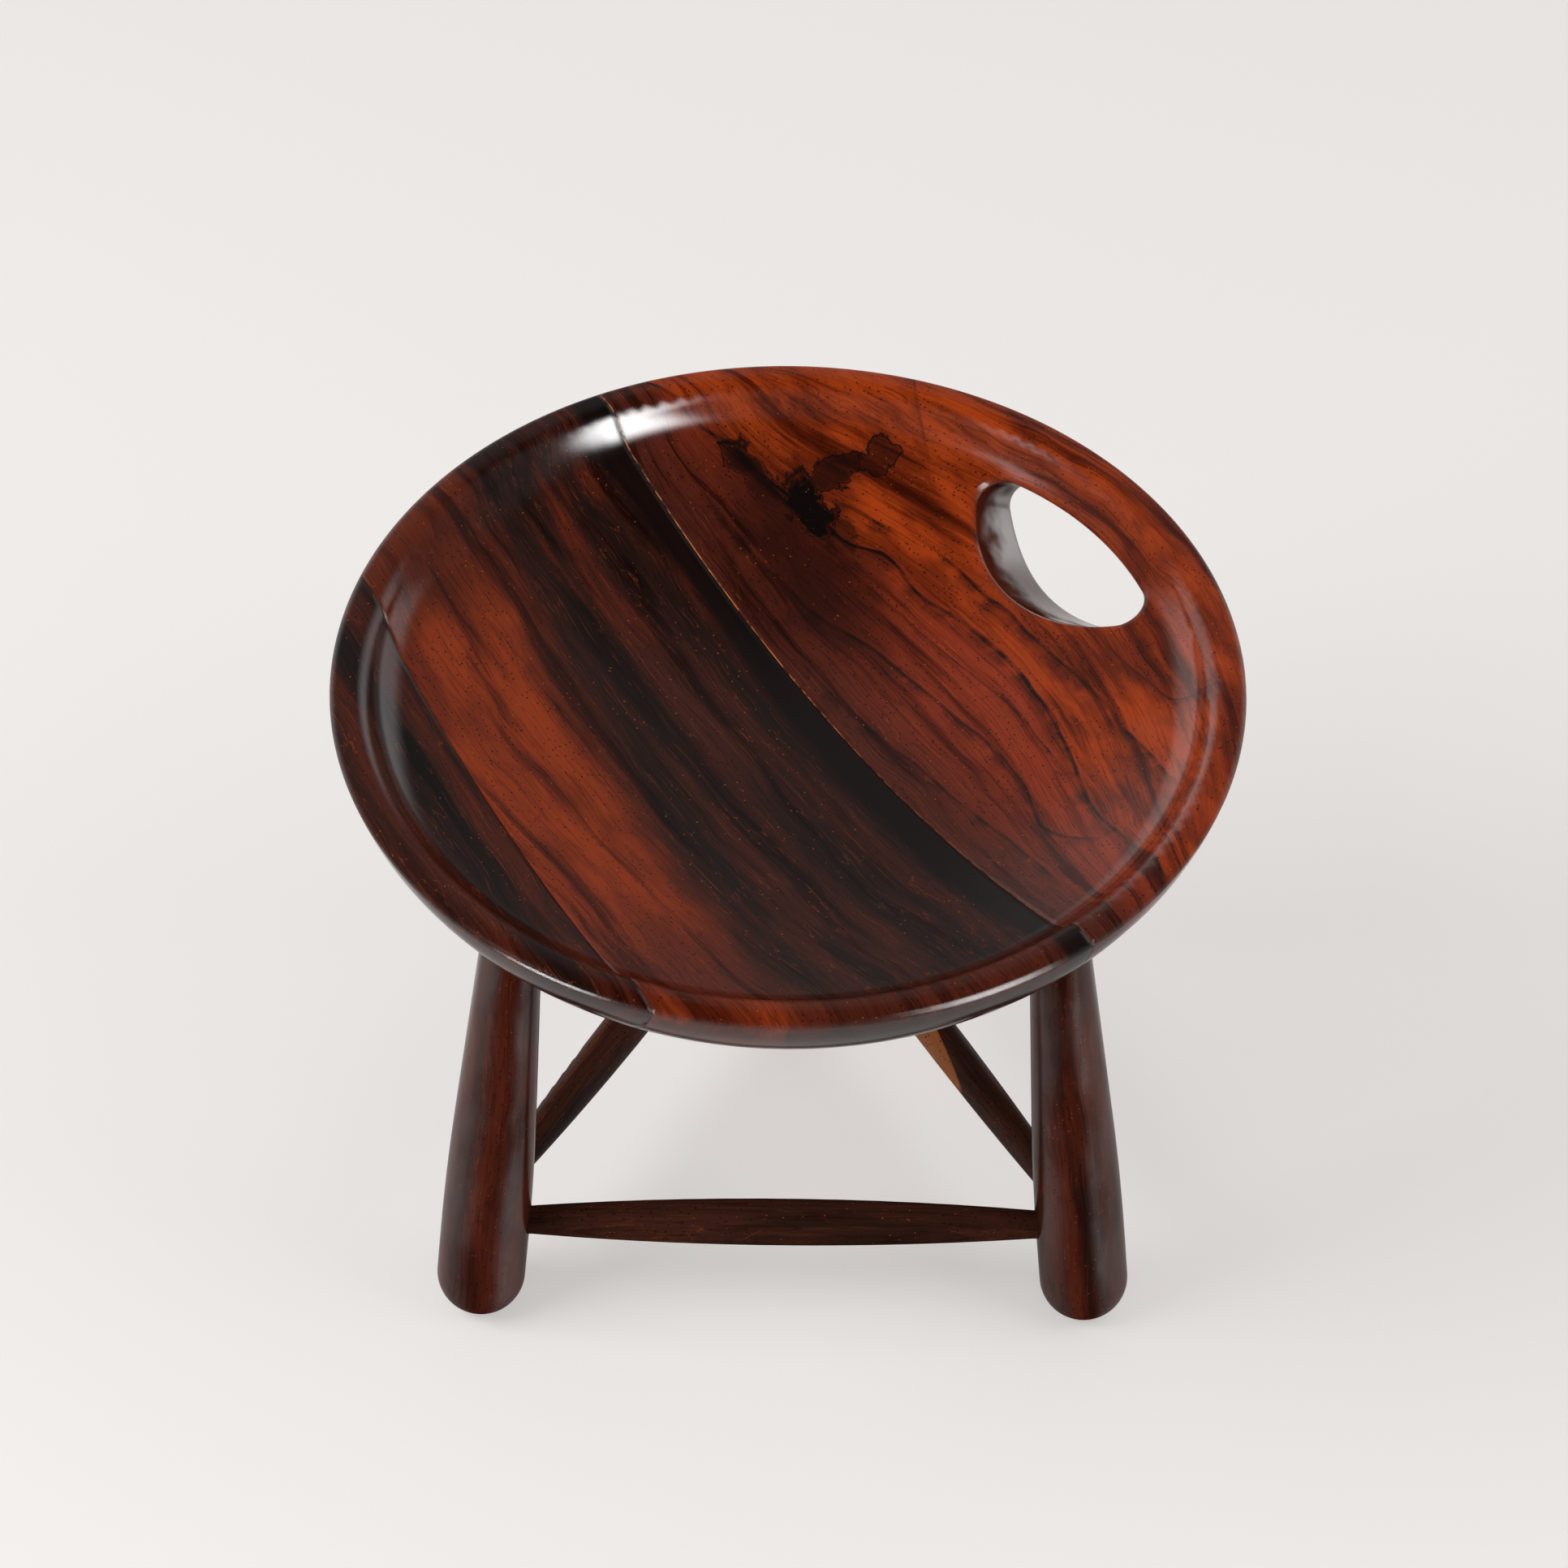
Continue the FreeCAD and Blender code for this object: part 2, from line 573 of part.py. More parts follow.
for stretcher_name in STRETCHERS:
    pieces.append(turn_stretcher(stretcher_name))
doc.recompute()

# Every step has to have worked before anything is written
for step in doc.Objects:
    if {"Invalid", "Error"} & set(step.State):
        raise RuntimeError(f"{step.Name} failed: {step.State}")
for piece in pieces:
    if piece.Shape.isNull() or not piece.Shape.isValid() or len(piece.Shape.Solids) != 1:
        raise RuntimeError(f"{piece.Label} is not one valid solid")

os.makedirs("parts", exist_ok=True)
for piece in pieces:
    piece.Shape.exportStep(f"parts/{piece.Label}.step")
    print(piece.Label, round(piece.Shape.Volume))
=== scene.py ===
"""Looks of a low three-legged stool: lacquered rosewood, on a pale studio floor.

Lengths in the wood are millimetres, in each piece's own grain frame: along the grain, across it,
and through it. The scene itself is in metres. A fade is a pair of values: the one at which a
feature is absent, and the one at which it is whole. A share is a strength from 0 to 1.
"""
import math

import bpy
from mathutils import Matrix, Vector


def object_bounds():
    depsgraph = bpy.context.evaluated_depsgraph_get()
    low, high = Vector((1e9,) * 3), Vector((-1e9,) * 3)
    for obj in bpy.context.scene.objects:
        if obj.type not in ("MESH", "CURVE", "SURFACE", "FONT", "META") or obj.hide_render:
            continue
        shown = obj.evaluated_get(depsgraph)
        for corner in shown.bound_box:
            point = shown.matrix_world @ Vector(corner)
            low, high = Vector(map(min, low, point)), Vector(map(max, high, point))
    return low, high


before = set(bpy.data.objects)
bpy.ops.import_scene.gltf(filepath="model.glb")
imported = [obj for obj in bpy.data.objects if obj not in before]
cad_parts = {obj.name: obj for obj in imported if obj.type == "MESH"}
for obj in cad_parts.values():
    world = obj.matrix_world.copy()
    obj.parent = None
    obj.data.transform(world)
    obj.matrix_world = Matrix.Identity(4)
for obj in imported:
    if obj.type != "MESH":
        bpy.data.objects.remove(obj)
cad_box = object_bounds()

# Directions in plan, in degrees from +X, and the lean of the legs
MAIN_SEAM_ANGLE = 33.2
LEFT_SEAM_ANGLE = 207.8
LEG_ANGLES = {"leg_right": 330, "leg_back": 90, "leg_left": 210}
LEG_SPLAY = 5.5
STRETCHER_ANGLES = {"stretcher_front": 0, "stretcher_right": 120, "stretcher_left": 60}

# Glue seam of the right board, from the seat's axis
MAIN_SEAM = 24.9

MILLIMETRES = 1000
UP = Vector((0, 0, 1))
RIGHT = Vector((1, 0, 0))
FRONT = Vector((0, -1, 0))


def srgb(red, green, blue):
    """A colour as it looks on screen, from 0 to 255, turned into light by the standard's own curve."""
    def light(level):
        share = level / 255
        return share / 12.92 if share <= 0.04045 else ((share + 0.055) / 1.055) ** 2.4
    return (light(red), light(green), light(blue), 1)


def outward(angle):
    """Level unit vector in a direction given in degrees from +X."""
    return Vector((math.cos(math.radians(angle)), math.sin(math.radians(angle)), 0))


class Nodes:
    """Short ways to build a tree of nodes."""

    def __init__(self, tree):
        self.tree = tree

    def add(self, kind):
        return self.tree.nodes.new("ShaderNode" + kind)

    def put(self, socket, value):
        """Link a socket, or set its value."""
        if isinstance(value, bpy.types.NodeSocket):
            self.tree.links.new(value, socket)
        else:
            socket.default_value = value

    def maths(self, operation, *values):
        node = self.add("Math")
        node.operation = operation
        for socket, value in zip(node.inputs, values):
            self.put(socket, value)
        return node.outputs[0]

    def plus(self, first, second):
        return self.maths("ADD", first, second)

    def minus(self, first, second):
        return self.maths("SUBTRACT", first, second)

    def larger(self, first, second):
        return self.maths("MAXIMUM", first, second)

    def times(self, first, *others):
        """Product of two or more values."""
        for other in others:
            first = self.maths("MULTIPLY", first, other)
        return first

    def sloped(self, value, slope, start):
        """A start, and a slope times the value added to it."""
        return self.maths("MULTIPLY_ADD", value, slope, start)

    def gap(self, value, middle):
        """How far a value lies from a middle, on either side."""
        return self.maths("ABSOLUTE", self.minus(value, middle))

    def vector(self, operation, first, second):
        node = self.add("VectorMath")
        node.operation = operation
        self.put(node.inputs[0], first)
        self.put(node.inputs["Scale" if operation == "SCALE" else 1], second)
        return node.outputs["Value" if operation == "DOT_PRODUCT" else "Vector"]

    def fade(self, value, ends):
        """Smooth step from 0 at the first end to 1 at the second."""
        node = self.add("MapRange")
        node.interpolation_type = "SMOOTHSTEP"
        zero_at, one_at = ends
        self.put(node.inputs["Value"], value)
        self.put(node.inputs["From Min"], zero_at)
        self.put(node.inputs["From Max"], one_at)
        return node.outputs["Result"]

    def mix(self, way, share, first, second):
        """Second colour laid over the first in some way, as far as the share goes."""
        node = self.add("Mix")
        node.data_type = "RGBA"
        node.blend_type = way
        colours = [socket for socket in node.inputs if socket.type == "RGBA"]
        self.put(node.inputs["Factor"], share)
        self.put(colours[0], first)
        self.put(colours[1], second)
        return next(socket for socket in node.outputs if socket.type == "RGBA")

    def blend(self, share, first, second):
        return self.mix("MIX", share, first, second)

    def deepen(self, share, colour, tone):
        return self.mix("MULTIPLY", share, colour, tone)

    def blend_values(self, share, first, second):
        return self.sloped(share, self.minus(second, first), first)


# Detail and roughness of a noise
SMOOTH = (2.0, 0.5)
LIVELY = (3.0, 0.5)
STREAKY = (3.0, 0.55)
FIBROUS = (3.0, 0.6)
TORN = (4.0, 0.6)

# Middle of a noise's range, and how many times a dot and a line are wider than their darkest core
NOISE_MIDDLE = 0.5
DOT_EDGE = 2
LINE_EDGE = 3

# Rounding of the mesh's facets, in metres, and the rays that it takes
FACET_SMOOTHING = 0.003
FACET_RAYS = 4


class Wood(Nodes):
    """One wooden material. A grain is a list of three distances: along, across and through it."""

    def __init__(self, name):
        self.material = bpy.data.materials.new(name)
        self.material.use_nodes = True
        super().__init__(self.material.node_tree)
        self.surface = self.tree.nodes["Principled BSDF"]

    def grain(self, along, across):
        """Distances from the part's origin along, across and through the grain."""
        place = self.vector("SCALE", self.add("TexCoord").outputs["Object"], MILLIMETRES)
        axes = (along, across, along.cross(across))
        return [self.vector("DOT_PRODUCT", place, axis) for axis in axes]

    def facing(self, axis):
        """How far the surface faces along an axis, from -1 to 1."""
        return self.vector("DOT_PRODUCT", self.add("NewGeometry").outputs["Normal"], axis)

    def stretched(self, grain, lengths, seed):
        """Grain measured in a length of its own each way, and moved by a seed."""
        join = self.add("CombineXYZ")
        for socket, distance, length in zip(join.inputs, grain, lengths):
            self.put(socket, self.sloped(distance, 1 / length, seed))
        return join.outputs[0]

    def noise(self, grain, lengths, seed, character=SMOOTH):
        """Noise from 0 to 1, stretched to a length each way."""
        detail, roughness = character
        node = self.add("TexNoise")
        node.inputs["Scale"].default_value = 1
        node.inputs["Detail"].default_value = detail
        node.inputs["Roughness"].default_value = roughness
        self.put(node.inputs["Vector"], self.stretched(grain, lengths, seed))
        return node.outputs["Fac"]

    def swing(self, grain, lengths, seed, amount, character=SMOOTH):
        """Noise from minus to plus an amount."""
        return self.sloped(self.noise(grain, lengths, seed, character), 2 * amount, -amount)

    def swayed(self, grain, lengths, seed, amount):
        """The grain with its lines swaying from side to side."""
        along, across, through = grain
        return [along, self.plus(across, self.swing(grain, lengths, seed, amount)), through]

    def dots(self, grain, lengths, seed, size):
        """Scattered dots, 1 inside and 0 outside, with one dot to each cell of the lengths."""
        node = self.add("TexVoronoi")
        node.inputs["Scale"].default_value = 1
        self.put(node.inputs["Vector"], self.stretched(grain, lengths, seed))
        return self.fade(node.outputs["Distance"], (size, size / DOT_EDGE))

    def contours(self, grain, lengths, seed, width):
        """Thin wandering lines, where a noise passes through its middle."""
        off = self.gap(self.noise(grain, lengths, seed), NOISE_MIDDLE)
        return self.fade(off, (width, width / LINE_EDGE))

    def curve(self, value, points):
        """Smooth curve through points, whose numbers all lie between 0 and 1."""
        node = self.add("FloatCurve")
        line = node.mapping.curves[0]
        line.points[0].location = points[0]
        line.points[-1].location = points[-1]
        for point in points[1:-1]:
            line.points.new(*point)
        node.mapping.update()
        self.put(node.inputs["Value"], value)
        return node.outputs[0]

    def bump(self, height, strength, distance):
        """Unevenness laid on the surface, whose facets are smoothed first."""
        smooth = self.add("Bevel")
        smooth.samples = FACET_RAYS
        smooth.inputs["Radius"].default_value = FACET_SMOOTHING
        node = self.add("Bump")
        self.put(node.inputs["Normal"], smooth.outputs[0])
        node.inputs["Strength"].default_value = strength
        node.inputs["Distance"].default_value = distance
        self.put(node.inputs["Height"], height)
        return node.outputs[0]


# Reach of the wood's features along, across and through the grain
SLOW_SWAY = (90, 45, 90)
QUICK_SWAY = (30, 10, 30)
PATCHES = (70, 26, 60)
BANDS = (190, 10, 35)
STREAKS = (150, 13, 40)
FIBRES = (45, 0.75, 5)
DARK_LINES = (75, 5, 25)
LIGHT_LINES = (34, 4.5, 14)
LINE_BREAKS = (16, 9, 16)
DARK_PORES = (3.0, 2.5, 2.0)
LIGHT_PORES = (4.6, 3.6, 2.6)
PORE_CLUSTERS = (45, 14, 40)
RIPPLES = (35, 16, 25)

# Where the features start and are whole in their noises
PATCH_FADE = (0.36, 0.62)
STREAK_FADE = (0.36, 0.64)
BAND_FADE = (0.47, 0.68)
FIBRE_SHADE_FADE = (0.52, 0.3)
FIBRE_LIGHT_FADE = (0.58, 0.78)
DARK_LINE_FADE = (0.42, 0.56)
LIGHT_LINE_FADE = (0.5, 0.36)
DARK_PORE_FADE = (0.36, 0.5)
LIGHT_PORE_FADE = (0.62, 0.45)

# Sizes of lines in their noise, and of pores in their cells
DARK_LINE_WIDTH = 0.02
LIGHT_LINE_WIDTH = 0.012
DARK_PORE_SIZE = 0.24
LIGHT_PORE_SIZE = 0.12

# Strength of the fine features
FIBRE_LIGHT_SHARE = 0.35
DARK_LINE_SHARE = 0.7
LIGHT_LINE_SHARE = 0.28
DARK_PORE_SHARE = 0.75
LIGHT_PORE_SHARE = 0.45

# Steps from the seed of a piece's lines, pores or lacquer to the seeds of the noises in them
SEED_STEPS = {"line_breaks": 2, "dark_lines": 4, "light_lines": 6, "light_pores": 5, "pore_clusters": 9,
              "ripples": 40, "fibres": 50}

# Colours of the wood
BLACK = srgb(14, 9, 8)
EBONY = srgb(30, 19, 16)
PORE_BROWN = srgb(24, 10, 7)
PORE_ORANGE = srgb(176, 84, 42)
LINE_ORANGE = srgb(178, 84, 36)
DEEP_TONE = srgb(112, 92, 92)


def add_bands(wood, grain, colour, seed, share):
    """Soft darker bands along the grain."""
    bands = wood.fade(wood.noise(grain, BANDS, seed, FIBROUS), BAND_FADE)
    return wood.deepen(wood.times(bands, share), colour, DEEP_TONE)


def add_lines(wood, grain, colour, seed, share):
    """Fine fibres, and thin wandering lines, some dark and some light."""
    fibres = wood.noise(grain, FIBRES, seed, FIBROUS)
    shade = wood.times(wood.fade(fibres, FIBRE_SHADE_FADE), share)
    colour = wood.deepen(shade, colour, DEEP_TONE)
    light = wood.times(wood.fade(fibres, FIBRE_LIGHT_FADE), share, FIBRE_LIGHT_SHARE)
    colour = wood.blend(light, colour, LINE_ORANGE)

    breaks = wood.noise(grain, LINE_BREAKS, seed + SEED_STEPS["line_breaks"])
    dark = wood.contours(grain, DARK_LINES, seed + SEED_STEPS["dark_lines"], DARK_LINE_WIDTH)
    dark = wood.times(dark, wood.fade(breaks, DARK_LINE_FADE), share, DARK_LINE_SHARE)
    colour = wood.blend(dark, colour, PORE_BROWN)
    light = wood.contours(grain, LIGHT_LINES, seed + SEED_STEPS["light_lines"], LIGHT_LINE_WIDTH)
    light = wood.times(light, wood.fade(breaks, LIGHT_LINE_FADE), share, LIGHT_LINE_SHARE)
    return wood.blend(light, colour, LINE_ORANGE)


def add_pores(wood, grain, colour, seed):
    """Pores of the wood: dark dots, and light flecks where the filler shows."""
    clusters = wood.noise(grain, PORE_CLUSTERS, seed + SEED_STEPS["pore_clusters"])
    dark = wood.dots(grain, DARK_PORES, seed, DARK_PORE_SIZE)
    dark = wood.times(dark, wood.fade(clusters, DARK_PORE_FADE), DARK_PORE_SHARE)
    colour = wood.blend(dark, colour, PORE_BROWN)
    light = wood.dots(grain, LIGHT_PORES, seed + SEED_STEPS["light_pores"], LIGHT_PORE_SIZE)
    light = wood.times(light, wood.fade(clusters, LIGHT_PORE_FADE), LIGHT_PORE_SHARE)
    return wood.blend(light, colour, PORE_ORANGE)


# Lacquer: how it bends light, roughness, and the strength and height in metres of its unevenness
LACQUER_BENDING = 1.5
LACQUER_ROUGHNESS = 0.12
WOOD_ROUGHNESS = 0.45
RIPPLE_BUMP = (0.05, 0.0006)
FIBRE_BUMP = (0.15, 0.0003)


def lacquer(wood, grain, colour, seed, weight=1.0, bending=LACQUER_BENDING):
    """Clear gloss over the wood, very slightly uneven."""
    surface = wood.surface
    wood.put(surface.inputs["Base Color"], colour)
    surface.inputs["Roughness"].default_value = WOOD_ROUGHNESS
    surface.inputs["Specular IOR Level"].default_value = 0
    wood.put(surface.inputs["Coat Weight"], weight)
    wood.put(surface.inputs["Coat IOR"], bending)
    surface.inputs["Coat Roughness"].default_value = LACQUER_ROUGHNESS
    ripples = wood.noise(grain, RIPPLES, seed + SEED_STEPS["ripples"])
    wood.put(surface.inputs["Coat Normal"], wood.bump(ripples, *RIPPLE_BUMP))
    fibres = wood.noise(grain, FIBRES, seed + SEED_STEPS["fibres"], LIVELY)
    wood.put(surface.inputs["Normal"], wood.bump(fibres, *FIBRE_BUMP))


def seat_grain(wood, seam_angle, side=1):
    """Straight grain of a board whose seam faces an angle.

    Along it is towards the front right, and through it is up.
    """
    across = outward(seam_angle) * side
    along = across.cross(UP)
    return wood.grain(along, across)


def swayed_twice(wood, straight, seeds, sways):
    """A board's grain, swaying widely and slowly, and a little and quickly."""
    slow, quick = sways
    grain = wood.swayed(straight, SLOW_SWAY, seeds["slow_sway"], slow)
    return wood.swayed(grain, QUICK_SWAY, seeds["quick_sway"], quick)


# Right board: a red field by the seam, and an orange field beyond its longest vein
RIGHT_SEEDS = {"slow_sway": 3, "quick_sway": 5, "patches": 7, "bands": 11, "lines": 17, "vein_breaks": 23,
               "teeth_along": 31, "teeth_across": 33, "pores": 37, "glue": 43, "slot": 53, "lacquer": 1}
RIGHT_SWAYS = (6.0, 1.8)
RIGHT_BAND_SHARE = 0.85
RIGHT_LINE_SHARE = 0.5
SEAM_FIELD_FADE = (80, 28)
UPPER_FIELD_FADE = (-8, 6)

UPPER_ORANGE = srgb(152, 56, 17)
UPPER_BROWN = srgb(102, 34, 11)
LOWER_RED = srgb(126, 45, 23)
SEAM_BROWN = srgb(70, 29, 20)

# Veins of the right board: points along and across the grain, half width and strength
EDGE_VEIN = [(-200, 44), (-167, 60), (-155, 67), (-135, 70), (-118, 76), (-104, 82), (-85, 85), (-65, 95),
             (-42, 97), (-15, 105), (12, 108), (45, 105), (75, 97), (117, 83), (145, 80), (200, 66)]
SEAM_VEIN = [(-140, 44), (-100, 46), (-65, 53), (-30, 63), (12, 68), (80, 69), (97, 64), (112, 62),
             (132, 71)]
VEINS = [
    (EDGE_VEIN, 1.7, 0.95),
    ([(-65, 112), (-45, 117), (-17, 119.5), (12, 122), (45, 124), (77, 122.5), (125, 117)], 1.5, 0.85),
    ([(-103, 92), (-88, 100), (-74, 105)], 2.0, 0.9),
    ([(-75, 77), (-30, 84), (20, 91), (60, 91), (95, 86)], 1.1, 0.6),
    (SEAM_VEIN, 1.7, 0.8),
    ([(-42, 32), (-5, 35), (32, 39), (70, 42), (95, 45), (145, 46)], 1.3, 0.75),
    ([(35, 144), (65, 145), (87, 146), (96, 155), (106, 160)], 1.2, 0.6),
    ([(-134, 157), (-122, 147), (-109, 144), (-98, 139)], 1.4, 0.5),
]

# A vein's curve runs from 0 to 1, for distances along the grain from minus to plus a reach
VEIN_REACH = 200
CURVE_MIDDLE = 0.5

# How far a vein's ends fade, how many times it is wider than its darkest core, and where it breaks
VEIN_END = 9
VEIN_EDGE = 4
VEIN_BREAKS = (13, 20, 30)
VEIN_BREAK_FADE = (0.36, 0.6)
VEIN_BROKEN_SHARE = 0.5

# Soft shadow beside a vein, in half widths of the vein
VEIN_SHADOW = 6
VEIN_SHADOW_SHARE = 0.68


def vein_line(wood, along, points):
    """Distance across the grain at which a vein lies, from its points."""
    slope = CURVE_MIDDLE / VEIN_REACH
    place = wood.sloped(along, slope, CURVE_MIDDLE)
    shares = [(CURVE_MIDDLE + slope * ahead, aside / VEIN_REACH) for ahead, aside in points]
    return wood.times(wood.curve(place, shares), VEIN_REACH)


def vein_share(wood, grain):
    """How dark the veins are: thin broken lines, each with a soft shadow on its seam side."""
    along, across, _ = grain
    breaks = wood.noise(grain, VEIN_BREAKS, RIGHT_SEEDS["vein_breaks"], LIVELY)
    breaks = wood.fade(breaks, VEIN_BREAK_FADE)
    firm = wood.sloped(breaks, 1 - VEIN_BROKEN_SHARE, VEIN_BROKEN_SHARE)
    darkest = 0.0
    for points, half_width, share in VEINS:
        off = wood.minus(across, vein_line(wood, along, points))
        core = wood.fade(wood.maths("ABSOLUTE", off), (half_width, half_width / VEIN_EDGE))
        below = wood.fade(off, (-VEIN_SHADOW * half_width, 0))
        shadow = wood.times(below, wood.fade(off, (half_width, 0)), breaks, VEIN_SHADOW_SHARE)
        start, end = points[0][0], points[-1][0]
        entering = wood.fade(along, (start - VEIN_END, start + VEIN_END))
        leaving = wood.fade(along, (end + VEIN_END, end - VEIN_END))
        dark = wood.times(wood.larger(wood.times(core, firm), shadow), entering, leaving, share)
        darkest = wood.larger(dark, darkest)
    return darkest


# Dark blotches of the right board: middle along and across the grain, reach both ways, softness and strength
BLOTCHES = [
    ((-108, 81), (18, 8), 0.5, 1.0),
    ((-116, 98), (6, 14), 0.5, 0.8),
    ((-111, 118), (7, 9), 0.6, 0.6),
    ((-130, 69), (24, 6), 0.7, 0.85),
    ((-86, 86), (14, 4), 0.8, 0.7),
    ((-84, 64), (64, 23), 1.4, 0.85),
]

# How far noise tears the blotches' edges, and the dark line round those that are not too soft for one
BLOTCH_TEETH = (15, 12, 20)
BLOTCH_TEAR_ALONG = 11
BLOTCH_TEAR_ACROSS = 13
BLOTCH_LINE_WIDTH = 0.22
BLOTCH_LINE_SHARE = 0.95
BLOTCH_LINE_SOFTEST = 0.75


def blotch_share(wood, grain):
    """How dark the blotches are, with torn edges."""
    along, across, _ = grain
    tear_along = wood.swing(grain, BLOTCH_TEETH, RIGHT_SEEDS["teeth_along"], BLOTCH_TEAR_ALONG, TORN)
    tear_across = wood.swing(grain, BLOTCH_TEETH, RIGHT_SEEDS["teeth_across"], BLOTCH_TEAR_ACROSS, TORN)
    along = wood.plus(along, tear_along)
    across = wood.plus(across, tear_across)
    darkest = 0.0
    for (middle_along, middle_across), (reach_along, reach_across), softness, share in BLOTCHES:
        off_along = wood.times(wood.minus(along, middle_along), 1 / reach_along)
        off_across = wood.times(wood.minus(across, middle_across), 1 / reach_across)
        squares = wood.plus(wood.times(off_along, off_along), wood.times(off_across, off_across))
        off = wood.maths("SQRT", squares)
        dark = wood.times(wood.fade(off, (1 + softness / 2, 1 - softness / 2)), share)
        if softness < BLOTCH_LINE_SOFTEST:
            line = wood.fade(wood.gap(off, 1), (BLOTCH_LINE_WIDTH, 0))
            dark = wood.larger(dark, wood.times(line, BLOTCH_LINE_SHARE))
        darkest = wood.larger(dark, darkest)
    return darkest


# Arch that the right board's bands and lines follow
ARCH_MIDDLE = 12
ARCH_TOP = 105
ARCH_REACH = 110
ARCH_FALL = 25


def arched(wood, grain):
    """The grain bent over the arch that the veins of the right board follow."""
    along, across, through = grain
    height = wood.fade(across, (MAIN_SEAM, ARCH_TOP))
    off = wood.times(wood.minus(along, ARCH_MIDDLE), 1 / ARCH_REACH)
    return [along, wood.plus(across, wood.times(off, off, height, ARCH_FALL)), through]


# Light glue line beside the right board's seam, in dots, and stronger at the back than at the front
GLUE_DOTS = (6, 9, 6)
GLUE_DOT_FADE = (0.38, 0.62)
GLUE_WIDTH_FADE = (0.65, 0.3)
GLUE_BACK_FADE = (60, -60)
GLUE_FRONT_SHARE = 0.2
GLUE_BACK_SHARE = 0.85
GLUE_ORANGE = srgb(200, 116, 62)


def glue_share(wood, straight, along):
    """How much of the glue line shows."""
    dotted = wood.fade(wood.noise(straight, GLUE_DOTS, RIGHT_SEEDS["glue"]), GLUE_DOT_FADE)
    growth = GLUE_BACK_SHARE - GLUE_FRONT_SHARE
    backward = wood.sloped(wood.fade(along, GLUE_BACK_FADE), growth, GLUE_FRONT_SHARE)
    line = wood.fade(straight[1], [MAIN_SEAM + width for width in GLUE_WIDTH_FADE])
    return wood.times(line, dotted, backward)


# The seat's dish, as a bowl that lies a little under the wood: its bottom, its radius and its rise
BOWL_BOTTOM = 284
BOWL_RADIUS = 169
BOWL_RISE = 28

# Walls of the hand slot: how far from the seat's axis and under the bowl they are, not counting the
# seat's underside, their gloss, which starts in patches and is whole further down, and the painted shade
# that darkens them brown
SLOT_REACH_FADE = (188, 182)
SLOT_DEPTH_FADE = (0.7, 2.2)
UNDERSIDE_FADE = (-0.7, -0.3)
SLOT_PATCHES = (16, 16, 12)
SLOT_PATCH_SWING = 14
SLOT_GLOSS_FADE = (3, 19)
SLOT_BENDING = 2.9
SLOT_PAINTED_SHADE = srgb(50, 25, 18)
SLOT_SHADE_SHARE = 0.85


def slot_shares(wood, straight):
    """Where the walls of the hand slot are, and how far down them the gloss has grown."""
    along, across, height = straight
    squares = wood.plus(wood.times(along, along), wood.times(across, across))
    inside = wood.fade(squares, [reach ** 2 for reach in SLOT_REACH_FADE])
    top = wood.sloped(squares, BOWL_RISE / BOWL_RADIUS ** 2, BOWL_BOTTOM)
    depth = wood.minus(top, height)
    upper = wood.fade(wood.facing(UP), UNDERSIDE_FADE)
    slot = wood.times(wood.fade(depth, SLOT_DEPTH_FADE), inside, upper)
    patchy = wood.plus(depth, wood.swing(straight, SLOT_PATCHES, RIGHT_SEEDS["slot"], SLOT_PATCH_SWING))
    return slot, wood.fade(patchy, SLOT_GLOSS_FADE)


def right_board():
    wood = Wood("rosewood_right_board")
    seeds = RIGHT_SEEDS
    straight = seat_grain(wood, MAIN_SEAM_ANGLE)
    grain = swayed_twice(wood, straight, seeds, RIGHT_SWAYS)
    along, across, _ = grain
    patches = wood.fade(wood.noise(grain, PATCHES, seeds["patches"], TORN), PATCH_FADE)
    upper = wood.blend(patches, UPPER_BROWN, UPPER_ORANGE)
    lower = wood.blend(wood.fade(across, SEAM_FIELD_FADE), LOWER_RED, SEAM_BROWN)
    beyond = wood.minus(across, vein_line(wood, along, EDGE_VEIN))
    colour = wood.blend(wood.fade(beyond, UPPER_FIELD_FADE), lower, upper)
    flow = arched(wood, grain)
    colour = add_bands(wood, flow, colour, seeds["bands"], RIGHT_BAND_SHARE)
    colour = add_lines(wood, flow, colour, seeds["lines"], RIGHT_LINE_SHARE)
    colour = wood.blend(vein_share(wood, grain), colour, BLACK)
    colour = wood.blend(blotch_share(wood, grain), colour, BLACK)
    colour = add_pores(wood, grain, colour, seeds["pores"])
    colour = wood.blend(glue_share(wood, straight, along), colour, GLUE_ORANGE)
    slot, deep = slot_shares(wood, straight)
    # Painted shade: the walls of the hand slot are darkened to brown
    colour = wood.blend(wood.times(slot, SLOT_SHADE_SHARE), colour, SLOT_PAINTED_SHADE)
    weight = wood.blend_values(slot, 1.0, deep)
    bending = wood.blend_values(wood.times(slot, deep), LACQUER_BENDING, SLOT_BENDING)
    lacquer(wood, grain, colour, seeds["lacquer"], weight, bending)
    return wood.material


# Middle board: a black band by the seam, a dark field, and an orange field that slants away from it
MIDDLE_SEEDS = {"slow_sway": 2, "quick_sway": 4, "patches": 6, "streaks": 9, "teeth": 12, "bands": 13,
                "lines": 19, "pores": 41, "black_band": 15, "lacquer": 2}
MIDDLE_SWAYS = (8.0, 1.4)
MIDDLE_BAND_SHARE = 0.8
MIDDLE_LINE_SHARE = 0.45
BLACK_BAND_FADE = (6, 14)
BLACK_BAND_SWING = 6
BLACK_BAND_SHARE = 0.95
DARK_FIELD_FADE = (-100, -60)
DARK_FIELD_SLANT = 0.13
DARK_FIELD_TEETH = (110, 22, 40)
DARK_FIELD_SWING = 19

# Heights at which the rim gives way to the dish, and the dish to the rim
DISH_FADE = (326, 316)
RIM_FADE = (320, 326)
